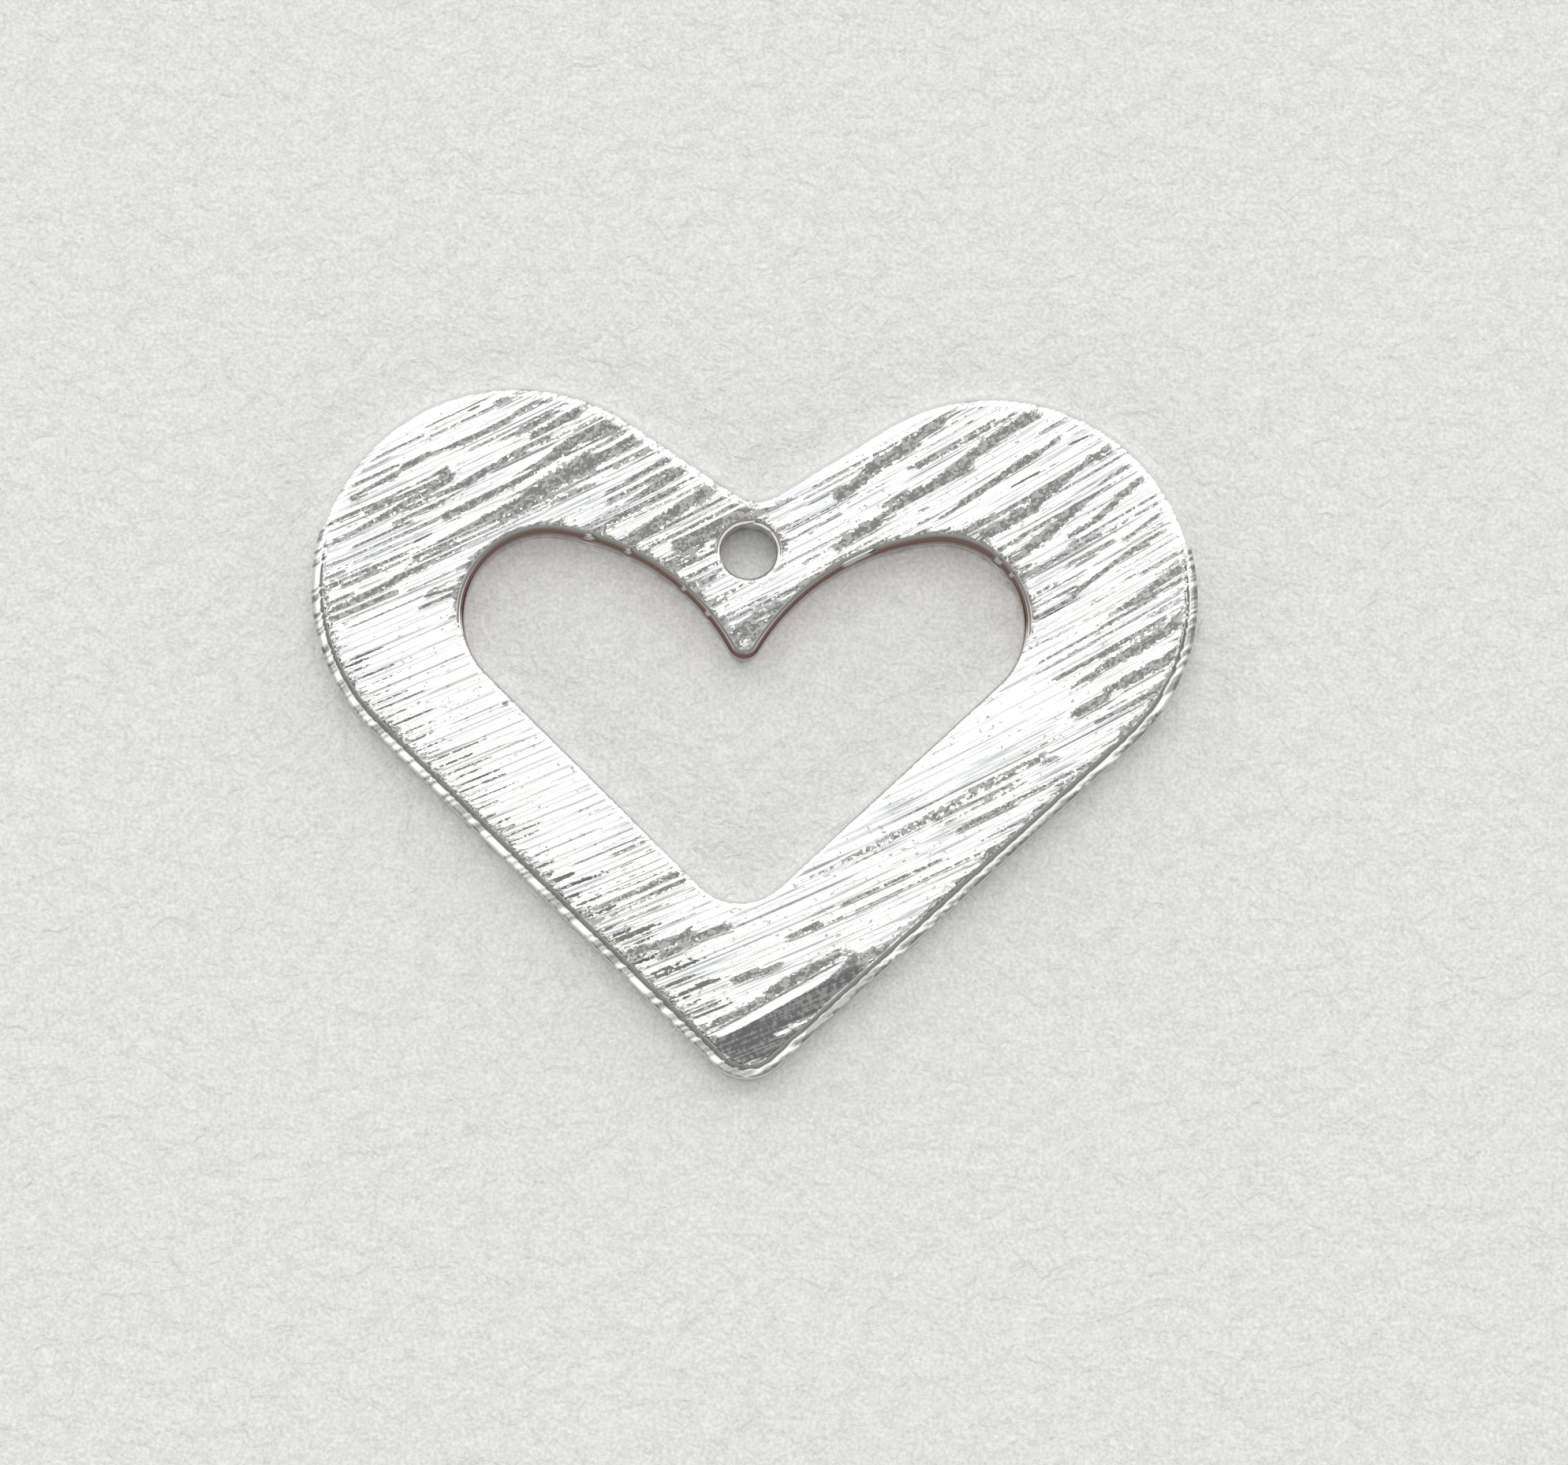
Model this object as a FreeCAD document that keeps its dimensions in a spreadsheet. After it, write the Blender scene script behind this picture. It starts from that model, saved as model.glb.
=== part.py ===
import FreeCAD, Part
import math
import os
import Sketcher

# A flat heart charm, blanked out of one sheet of metal, with a heart window and a ring hole.
# Millimetres. The plate lies on its back: +X to the right lobe, +Y up the heart, +Z out of the face.
# The origin is in the back face, under the middle of the heart's overall width and height.

SIZES = {
    # The sheet and its edges
    "sheet_thickness": 0.9,
    "face_edge_radius": 0.36,
    "back_edge_radius": 0.1,
    "hole_edge_radius": 0.25,
    # The outer heart
    "heart_width": 23.9,
    "heart_height": 18.7,
    "lobe_radius": 5.5,
    "tip_radius": 1.2,
    "notch_radius": 1.0,
    "flank_slope": 33.3,
    # The bands of metal that the window leaves
    "side_band": 4.4,
    "top_band": 4.06,
    "point_band": 4.72,
    "neck_band": 4.43,
    # The window's own arcs
    "window_side_radius": 2.26,
    "window_flank_radius": 6.2,
    "window_cusp_radius": 0.46,
    "window_tip_radius": 1.48,
    # The ring hole, and how far the two punches sit left of the heart's middle
    "hole_diameter": 1.5,
    "hole_wall": 0.75,
    "window_shift": 0.28,
    "hole_shift": 0.2,
    # How much of the wall beside it, or of the cusp, an edge rounding may use up
    "face_edge_share": 0.55,
    "hole_edge_share": 0.4,
    "cusp_edge_share": 0.85,
}

# How a sketch numbers a curve's points, and its own two axes, which start at its origin
START, END, CENTRE = range(1, 4)
ACROSS_AXIS, UP_AXIS = range(-1, -3, -1)
ORIGIN = (ACROSS_AXIS, START)

doc = FreeCAD.newDocument("heart_charm")
sheet = doc.addObject("Spreadsheet::Sheet", "Sizes")
for row, (name, value) in enumerate(SIZES.items(), 1):
    sheet.set("A%d" % row, name)
    sheet.set("B%d" % row, str(value))
    sheet.setAlias("B%d" % row, name)
doc.recompute()

body = doc.addObject("PartDesign::Body", "heart_plate")
body.Label = "heart_plate"
flat_plane = next(f for f in body.Origin.OriginFeatures if f.Role == "XY_Plane")


def new_sketch(name):
    sketch = body.newObject("Sketcher::SketchObject", name)
    sketch.AttachmentSupport = (flat_plane, [""])
    sketch.MapMode = "FlatFace"
    return sketch


def add_arc(sketch, centre, radius, start, end):
    circle = Part.Circle(FreeCAD.Vector(centre[0], centre[1], 0), FreeCAD.Vector(0, 0, 1), radius)
    return sketch.addGeometry(Part.ArcOfCircle(circle, start, end), False)


def add_line(sketch, start, end):
    first = FreeCAD.Vector(start[0], start[1], 0)
    last = FreeCAD.Vector(end[0], end[1], 0)
    return sketch.addGeometry(Part.LineSegment(first, last), False)


def on_circle(centre, radius, angle):
    return centre[0] + radius * math.cos(angle), centre[1] + radius * math.sin(angle)


def mirrored(point):
    return -point[0], point[1]


def join_smoothly(sketch, loop):
    """Each curve leaves at its second point and runs on, in tangent, from the next one's first."""
    for (curve, _, leaves), (following, enters, _) in zip(loop, loop[1:] + loop[:1]):
        sketch.addConstraint(Sketcher.Constraint("Tangent", curve, leaves, following, enters))


def size(sketch, name, kind, *where, expression):
    """A named dimension of the sketch that follows the sheet."""
    index = sketch.addConstraint(Sketcher.Constraint(kind, *where))
    sketch.renameConstraint(index, name)
    sketch.setExpression("Constraints." + name, expression)


def settle(sketch):
    doc.recompute()
    if sketch.solve() != 0 or not sketch.FullyConstrained:
        raise RuntimeError(sketch.Label + " isn't fully constrained")


def side_angle(tip, tip_radius, lobe, lobe_radius):
    """Where the straight side touches both the tip's arc and the lobe's, as an angle on them."""
    across = math.atan2(lobe[1] - tip[1], lobe[0] - tip[0])
    apart = math.dist(tip, lobe)
    return across - math.acos((tip_radius - lobe_radius) / apart)


# The outer heart: two round lobes, straight flanks into a rounded notch, straight sides to the tip

half_height = SIZES["heart_height"] / 2
lobe_radius = SIZES["lobe_radius"]
tip_radius = SIZES["tip_radius"]
notch_radius = SIZES["notch_radius"]
slope = math.radians(SIZES["flank_slope"])
lobe = (SIZES["heart_width"] / 2 - lobe_radius, half_height - lobe_radius)
tip = (0, tip_radius - half_height)
flank_offset = lobe[1] * math.cos(slope) - lobe[0] * math.sin(slope) + lobe_radius
notch = (0, (flank_offset + notch_radius) / math.cos(slope))
side = side_angle(tip, tip_radius, lobe, lobe_radius)
flank = math.pi / 2 + slope

outline = new_sketch("outline")
tip_arc = add_arc(outline, tip, tip_radius, math.pi - side, side)
right_side = add_line(outline, on_circle(tip, tip_radius, side), on_circle(lobe, lobe_radius, side))
right_lobe = add_arc(outline, lobe, lobe_radius, side, flank)
notch_end = on_circle(notch, notch_radius, flank - math.pi)
lobe_end = on_circle(lobe, lobe_radius, flank)
right_flank = add_line(outline, notch_end, lobe_end)
notch_arc = add_arc(outline, notch, notch_radius, -flank, flank - math.pi)
left_flank = add_line(outline, mirrored(notch_end), mirrored(lobe_end))
left_lobe = add_arc(outline, mirrored(lobe), lobe_radius, math.pi - flank, math.pi - side)
left_side = add_line(
    outline,
    mirrored(on_circle(lobe, lobe_radius, side)),
    mirrored(on_circle(tip, tip_radius, side)),
)
join_smoothly(outline, [
    (tip_arc, START, END),
    (right_side, START, END),
    (right_lobe, START, END),
    (right_flank, END, START),
    (notch_arc, END, START),
    (left_flank, START, END),
    (left_lobe, START, END),
    (left_side, START, END),
])
outline.addConstraint(Sketcher.Constraint("PointOnObject", tip_arc, CENTRE, UP_AXIS))
outline.addConstraint(Sketcher.Constraint("PointOnObject", notch_arc, CENTRE, UP_AXIS))
outline.addConstraint(Sketcher.Constraint("Equal", right_lobe, left_lobe))
outline.addConstraint(
    Sketcher.Constraint("Symmetric", right_lobe, CENTRE, left_lobe, CENTRE, UP_AXIS)
)
size(outline, "lobe_radius", "Radius", right_lobe, lobe_radius, expression="Sizes.lobe_radius")
size(outline, "tip_radius", "Radius", tip_arc, tip_radius, expression="Sizes.tip_radius")
size(outline, "notch_radius", "Radius", notch_arc, notch_radius, expression="Sizes.notch_radius")
size(outline, "flank_slope", "Angle", right_flank, slope, expression="Sizes.flank_slope")
size(
    outline, "lobe_spread", "DistanceX", left_lobe, CENTRE, right_lobe, CENTRE, 2 * lobe[0],
    expression="Sizes.heart_width - 2 * Sizes.lobe_radius",
)
size(
    outline, "lobe_rise", "DistanceY", tip_arc, CENTRE, right_lobe, CENTRE, lobe[1] - tip[1],
    expression="Sizes.heart_height - Sizes.lobe_radius - Sizes.tip_radius",
)
size(
    outline, "tip_drop", "DistanceY", tip_arc, CENTRE, *ORIGIN, -tip[1],
    expression="Sizes.heart_height / 2 - Sizes.tip_radius",
)
settle(outline)

blank = body.newObject("PartDesign::Pad", "blank")
blank.Profile = outline
blank.setExpression("Length", "Sizes.sheet_thickness")
outline.Visibility = False
doc.recompute()

# The notch's floor, which the neck band and the ring hole are measured down from

NOTCH_FLOOR = (
    "(((Sizes.heart_height / 2 - Sizes.lobe_radius) * cos(Sizes.flank_slope)"
    " - (Sizes.heart_width / 2 - Sizes.lobe_radius) * sin(Sizes.flank_slope)"
    " + Sizes.lobe_radius + Sizes.notch_radius) / cos(Sizes.flank_slope) - Sizes.notch_radius)"
)
notch_floor = notch[1] - notch_radius

# The window: a smaller heart of arcs, its punch set a little left of the heart's middle

window_side_radius = SIZES["window_side_radius"]
window_flank_radius = SIZES["window_flank_radius"]
window_cusp_radius = SIZES["window_cusp_radius"]
window_tip_radius = SIZES["window_tip_radius"]
window_top = half_height - SIZES["top_band"]
window_lobe = (
    SIZES["heart_width"] / 2 - SIZES["side_band"] - window_side_radius,
    window_top - window_side_radius,
)
window_tip = (0, SIZES["point_band"] - half_height + window_tip_radius)
window_cusp = (0, notch_floor - SIZES["neck_band"] + window_cusp_radius)

# The flank's centre lies on circles about the lobe's centre and the cusp's
to_lobe = window_flank_radius - window_side_radius
to_cusp = window_flank_radius + window_cusp_radius
span = math.dist(window_lobe, window_cusp)
along = (to_lobe ** 2 - to_cusp ** 2 + span ** 2) / (2 * span)
aside = math.sqrt(to_lobe ** 2 - along ** 2)
reach = ((window_cusp[0] - window_lobe[0]) / span, (window_cusp[1] - window_lobe[1]) / span)
window_flank = (
    window_lobe[0] + along * reach[0] - aside * reach[1],
    window_lobe[1] + along * reach[1] + aside * reach[0],
)
side = side_angle(window_tip, window_tip_radius, window_lobe, window_side_radius)
shoulder = math.atan2(window_lobe[1] - window_flank[1], window_lobe[0] - window_flank[0])
throat = math.atan2(window_cusp[1] - window_flank[1], window_cusp[0] - window_flank[0])

window = new_sketch("window")
window.setExpression("AttachmentOffset.Base.x", "-Sizes.window_shift")
tip_arc = add_arc(window, window_tip, window_tip_radius, math.pi - side, side)
right_side = add_line(
    window,
    on_circle(window_tip, window_tip_radius, side),
    on_circle(window_lobe, window_side_radius, side),
)
right_lobe = add_arc(window, window_lobe, window_side_radius, side, shoulder)
right_flank = add_arc(window, window_flank, window_flank_radius, shoulder, throat)
cusp_arc = add_arc(window, window_cusp, window_cusp_radius, -throat, throat - math.pi)
left_flank = add_arc(
    window, mirrored(window_flank), window_flank_radius, math.pi - throat, math.pi - shoulder
)
left_lobe = add_arc(
    window, mirrored(window_lobe), window_side_radius, math.pi - shoulder, math.pi - side
)
left_side = add_line(
    window,
    mirrored(on_circle(window_lobe, window_side_radius, side)),
    mirrored(on_circle(window_tip, window_tip_radius, side)),
)
join_smoothly(window, [
    (tip_arc, START, END),
    (right_side, START, END),
    (right_lobe, START, END),
    (right_flank, START, END),
    (cusp_arc, END, START),
    (left_flank, START, END),
    (left_lobe, START, END),
    (left_side, START, END),
])
window.addConstraint(Sketcher.Constraint("PointOnObject", tip_arc, CENTRE, UP_AXIS))
window.addConstraint(Sketcher.Constraint("PointOnObject", cusp_arc, CENTRE, UP_AXIS))
window.addConstraint(Sketcher.Constraint("Equal", right_lobe, left_lobe))
window.addConstraint(Sketcher.Constraint("Equal", right_flank, left_flank))
window.addConstraint(
    Sketcher.Constraint("Symmetric", right_lobe, CENTRE, left_lobe, CENTRE, UP_AXIS)
)
size(
    window, "side_radius", "Radius", right_lobe, window_side_radius,
    expression="Sizes.window_side_radius",
)
size(
    window, "flank_radius", "Radius", right_flank, window_flank_radius,
    expression="Sizes.window_flank_radius",
)
size(
    window, "cusp_radius", "Radius", cusp_arc, window_cusp_radius,
    expression="Sizes.window_cusp_radius",
)
size(
    window, "tip_radius", "Radius", tip_arc, window_tip_radius,
    expression="Sizes.window_tip_radius",
)
size(
    window, "lobe_spread", "DistanceX", left_lobe, CENTRE, right_lobe, CENTRE, 2 * window_lobe[0],
    expression="Sizes.heart_width - 2 * (Sizes.side_band + Sizes.window_side_radius)",
)
size(
    window, "lobe_rise", "DistanceY", tip_arc, CENTRE, right_lobe, CENTRE,
    window_lobe[1] - window_tip[1],
    expression="Sizes.heart_height - Sizes.top_band - Sizes.point_band"
    " - Sizes.window_side_radius - Sizes.window_tip_radius",
)
size(
    window, "cusp_rise", "DistanceY", tip_arc, CENTRE, cusp_arc, CENTRE,
    window_cusp[1] - window_tip[1],
    expression=NOTCH_FLOOR + " - Sizes.neck_band + Sizes.window_cusp_radius"
    " + Sizes.heart_height / 2 - Sizes.point_band - Sizes.window_tip_radius",
)
size(
    window, "tip_drop", "DistanceY", tip_arc, CENTRE, *ORIGIN, -window_tip[1],
    expression="Sizes.heart_height / 2 - Sizes.point_band - Sizes.window_tip_radius",
)
settle(window)

window_punch = body.newObject("PartDesign::Pocket", "window_punch")
window_punch.Profile = window
window_punch.Type = "ThroughAll"
window_punch.Reversed = True
window.Visibility = False
doc.recompute()

# The ring hole, under the notch

hole_radius = SIZES["hole_diameter"] / 2
ring_centre = new_sketch("ring_centre")
ring_centre.setExpression("AttachmentOffset.Base.x", "-Sizes.hole_shift")
hole_middle = FreeCAD.Vector(0, notch_floor - SIZES["hole_wall"] - hole_radius, 0)
rim = Part.Circle(hole_middle, FreeCAD.Vector(0, 0, 1), hole_radius)
rim_circle = ring_centre.addGeometry(rim, False)
ring_centre.addConstraint(Sketcher.Constraint("PointOnObject", rim_circle, CENTRE, UP_AXIS))
size(
    ring_centre, "hole_diameter", "Diameter", rim_circle, SIZES["hole_diameter"],
    expression="Sizes.hole_diameter",
)
size(
    ring_centre, "hole_rise", "DistanceY", *ORIGIN, rim_circle, CENTRE, hole_middle.y,
    expression=NOTCH_FLOOR + " - Sizes.hole_wall - Sizes.hole_diameter / 2",
)
settle(ring_centre)

ring_hole = body.newObject("PartDesign::Pocket", "ring_hole")
ring_hole.Profile = ring_centre
ring_hole.Type = "ThroughAll"
ring_hole.Reversed = True
ring_centre.Visibility = False
doc.recompute()

for cut, before in ((window_punch, blank), (ring_hole, window_punch)):
    if cut.Shape.Volume >= before.Shape.Volume:
        raise RuntimeError(cut.Label + " cut nothing")


# The edges: tumbled round on the face, only eased on the back

def edges_at(feature, height, closed):
    """Names of the edges that lie flat at a height: the closed one is the ring hole's rim."""
    names = []
    for number, edge in enumerate(feature.Shape.Edges, 1):
        box = edge.BoundBox
        flat = math.isclose(box.ZMin, box.ZMax, abs_tol=edge.Tolerance)
        level = math.isclose(box.ZMin, height, abs_tol=edge.Tolerance)
        if flat and level and edge.isClosed() == closed:
            names.append("Edge%d" % number)
    return names


def round_edges(name, base, edges, radius):
    feature = body.newObject("PartDesign::Fillet", name)
    feature.Base = (base, edges)
    feature.setExpression("Radius", radius)
    doc.recompute()
    return feature


face_height = SIZES["sheet_thickness"]
face_edges = round_edges(
    "face_edges", ring_hole, edges_at(ring_hole, face_height, False),
    "min(Sizes.face_edge_radius; Sizes.hole_wall * Sizes.face_edge_share;"
    " Sizes.window_cusp_radius * Sizes.cusp_edge_share)",
)
hole_edge = round_edges(
    "hole_edge", face_edges, edges_at(face_edges, face_height, True),
    "min(Sizes.hole_edge_radius; Sizes.hole_wall * Sizes.hole_edge_share)",
)
back_edges = round_edges(
    "back_edges", hole_edge,
    edges_at(hole_edge, 0, False) + edges_at(hole_edge, 0, True),
    "Sizes.back_edge_radius",
)

# Only a sound plate is written

for item in doc.Objects:
    if "Invalid" in item.State or "Error" in item.State:
        raise RuntimeError(item.Label + " failed to build")
plate = body.Shape
if plate.isNull() or not plate.isValid() or len(plate.Solids) != 1:
    raise RuntimeError("the plate isn't one sound solid")
os.makedirs("parts", exist_ok=True)
plate.exportStep("parts/heart_plate.step")
box = plate.optimalBoundingBox()
print("heart_plate %.2f x %.2f x %.2f mm" % (box.XLength, box.YLength, box.ZLength))
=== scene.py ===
import math

import bpy
import numpy as np
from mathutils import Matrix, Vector
from mathutils.geometry import delaunay_2d_cdt


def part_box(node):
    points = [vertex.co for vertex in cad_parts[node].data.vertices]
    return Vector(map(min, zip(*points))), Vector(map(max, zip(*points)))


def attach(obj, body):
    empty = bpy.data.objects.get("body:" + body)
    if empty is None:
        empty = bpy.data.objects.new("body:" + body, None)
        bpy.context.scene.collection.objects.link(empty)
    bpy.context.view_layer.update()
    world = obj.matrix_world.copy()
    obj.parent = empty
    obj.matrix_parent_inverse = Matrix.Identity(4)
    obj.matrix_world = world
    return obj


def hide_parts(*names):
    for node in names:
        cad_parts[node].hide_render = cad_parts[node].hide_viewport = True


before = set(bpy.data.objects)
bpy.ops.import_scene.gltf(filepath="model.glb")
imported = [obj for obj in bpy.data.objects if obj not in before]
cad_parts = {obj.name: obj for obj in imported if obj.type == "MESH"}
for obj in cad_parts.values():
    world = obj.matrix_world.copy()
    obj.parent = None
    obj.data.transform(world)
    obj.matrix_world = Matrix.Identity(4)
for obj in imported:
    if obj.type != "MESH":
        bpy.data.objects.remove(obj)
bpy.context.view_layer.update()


# The heart plate: a flat heart of sheet brass about a millimetre thick, blanked in a press tool that
# also punches the window and the ring hole. Its face is brushed with a coarse belt, its edges are
# tumbled round, and the whole of it is then silver plated.

MM = 0.001
lowest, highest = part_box("heart_plate")
heart_width, heart_height, thickness = (highest - lowest) / MM
lobe_radius = 5.5
tip_radius = 1.2
notch_radius = 1.0
flank_slope = math.radians(33.3)
side_band = 4.4
top_band = 4.06
point_band = 4.72
neck_band = 4.43
window_side_radius = 2.26
window_flank_radius = 6.2
window_cusp_radius = 0.46
window_tip_radius = 1.48
window_shift = 0.28
hole_radius = 0.75
hole_wall = 0.75
hole_shift = 0.2
face_edge_radius = 0.33
window_edge_radius = 0.20
hole_edge_radius = 0.14
back_edge_radius = 0.1


def point_on(centre, radius, angle):
    return np.array([centre[0] + radius * math.cos(angle), centre[1] + radius * math.sin(angle)])


def angle_from(centre, point):
    return math.atan2(point[1] - centre[1], point[0] - centre[0])


def side_angle(tip, small_radius, lobe, large_radius):
    """Where a straight side touches both the tip's arc and the lobe's, as an angle on them."""
    return angle_from(tip, lobe) - math.acos((small_radius - large_radius) / math.dist(tip, lobe))


def meeting(first, first_radius, second, second_radius):
    """Where two circles meet, on the left of the way from the first to the second."""
    span = math.dist(first, second)
    ahead = (first_radius ** 2 - second_radius ** 2 + span ** 2) / (2 * span)
    aside = math.sqrt(first_radius ** 2 - ahead ** 2)
    way = ((second[0] - first[0]) / span, (second[1] - first[1]) / span)
    return first[0] + ahead * way[0] - aside * way[1], first[1] + ahead * way[1] + aside * way[0]


def mirrored(arc):
    centre, radius, start, end = arc
    return (-centre[0], centre[1]), radius, math.pi - end, math.pi - start


def even_steps(length, pace):
    """An even count, because the lower rings of the edge use every second point."""
    return 2 * math.ceil(length / pace / 2)


def walk(arcs, pace):
    """Points round a loop of arcs with straight runs between them, and the way each point faces."""
    points, facing = [], []
    for (centre, radius, start, end), following in zip(arcs, arcs[1:] + arcs[:1]):
        outward = 1 if end > start else -1
        steps = even_steps(radius * abs(end - start), pace)
        for angle in np.linspace(start, end, steps, endpoint=False):
            points.append(point_on(centre, radius, angle))
            facing.append(outward * point_on((0, 0), 1, angle))
        leaves = point_on(centre, radius, end)
        enters = point_on(*following[:3])
        run = math.dist(leaves, enters)
        if run > pace:
            for share in np.linspace(0, 1, even_steps(run, pace), endpoint=False):
                points.append(leaves + share * (enters - leaves))
                facing.append(outward * point_on((0, 0), 1, end))
    return np.array(points), np.array(facing)


def as_opening(points, facing, shift):
    return points[::-1] - np.array([shift, 0]), -facing[::-1]


# The outer heart, walked anticlockwise
half_height = heart_height / 2
lobe = (heart_width / 2 - lobe_radius, half_height - lobe_radius)
tip = (0, tip_radius - half_height)
flank_offset = lobe[1] * math.cos(flank_slope) - lobe[0] * math.sin(flank_slope) + lobe_radius
notch = (0, (flank_offset + notch_radius) / math.cos(flank_slope))
notch_floor = notch[1] - notch_radius
side = side_angle(tip, tip_radius, lobe, lobe_radius)
flank = math.pi / 2 + flank_slope
right_lobe = (lobe, lobe_radius, side, flank)
outer_arcs = [
    (tip, tip_radius, -math.pi - side, side),
    right_lobe,
    (notch, notch_radius, flank - math.pi, -flank),
    mirrored(right_lobe),
]

# The window, a smaller heart of arcs
window_lobe = (
    heart_width / 2 - side_band - window_side_radius,
    half_height - top_band - window_side_radius,
)
window_tip = (0, point_band - half_height + window_tip_radius)
window_cusp = (0, notch_floor - neck_band + window_cusp_radius)
window_flank = meeting(
    window_lobe, window_flank_radius - window_side_radius,
    window_cusp, window_flank_radius + window_cusp_radius,
)
window_side = side_angle(window_tip, window_tip_radius, window_lobe, window_side_radius)
shoulder = angle_from(window_flank, window_lobe)
throat = angle_from(window_flank, window_cusp)
right_side_arc = (window_lobe, window_side_radius, window_side, shoulder)
right_flank_arc = (window_flank, window_flank_radius, shoulder, throat)
window_arcs = [
    (window_tip, window_tip_radius, -math.pi - window_side, window_side),
    right_side_arc,
    right_flank_arc,
    (window_cusp, window_cusp_radius, throat - math.pi, -throat),
    mirrored(right_flank_arc),
    mirrored(right_side_arc),
]

# The ring hole
hole_arcs = [((0, notch_floor - hole_wall - hole_radius), hole_radius, 0, 2 * math.pi)]

EDGE_PACE = 0.036
loops = [
    (*walk(outer_arcs, EDGE_PACE), face_edge_radius),
    (*as_opening(*walk(window_arcs, EDGE_PACE), window_shift), window_edge_radius),
    (*as_opening(*walk(hole_arcs, EDGE_PACE), hole_shift), hole_edge_radius),
]
outer_points, outer_facing, _ = loops[0]

# Brushing. The belt ran up to the right in slightly bowed lines, and every point of the face is also
# given by how far along those lines it lies and how far across them.
LINE_ANGLE = math.radians(26.5)
LINE_TILT = (-0.446, 0.895)
LINE_BOW = -0.0008
LINE_FAN = -0.0073
FACE_PLACE_ROUNDS = 8


def brush_place(x, y):
    along = x * math.cos(LINE_ANGLE) + y * math.sin(LINE_ANGLE)
    across = LINE_TILT[0] * x + LINE_TILT[1] * y + LINE_BOW * x ** 2 + LINE_FAN * x * y
    return along, across


def face_place(along, across):
    """The way back from the brush lines to the face, found by mending a first guess."""
    x = along * math.cos(LINE_ANGLE) - across * math.sin(LINE_ANGLE)
    y = along * math.sin(LINE_ANGLE) + across * math.cos(LINE_ANGLE)
    for _ in range(FACE_PLACE_ROUNDS):
        miss_along, miss_across = brush_place(x, y)
        miss_along -= along
        miss_across -= across
        x -= miss_along * math.cos(LINE_ANGLE) - miss_across * math.sin(LINE_ANGLE)
        y -= miss_along * math.sin(LINE_ANGLE) + miss_across * math.cos(LINE_ANGLE)
    return x, y


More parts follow.
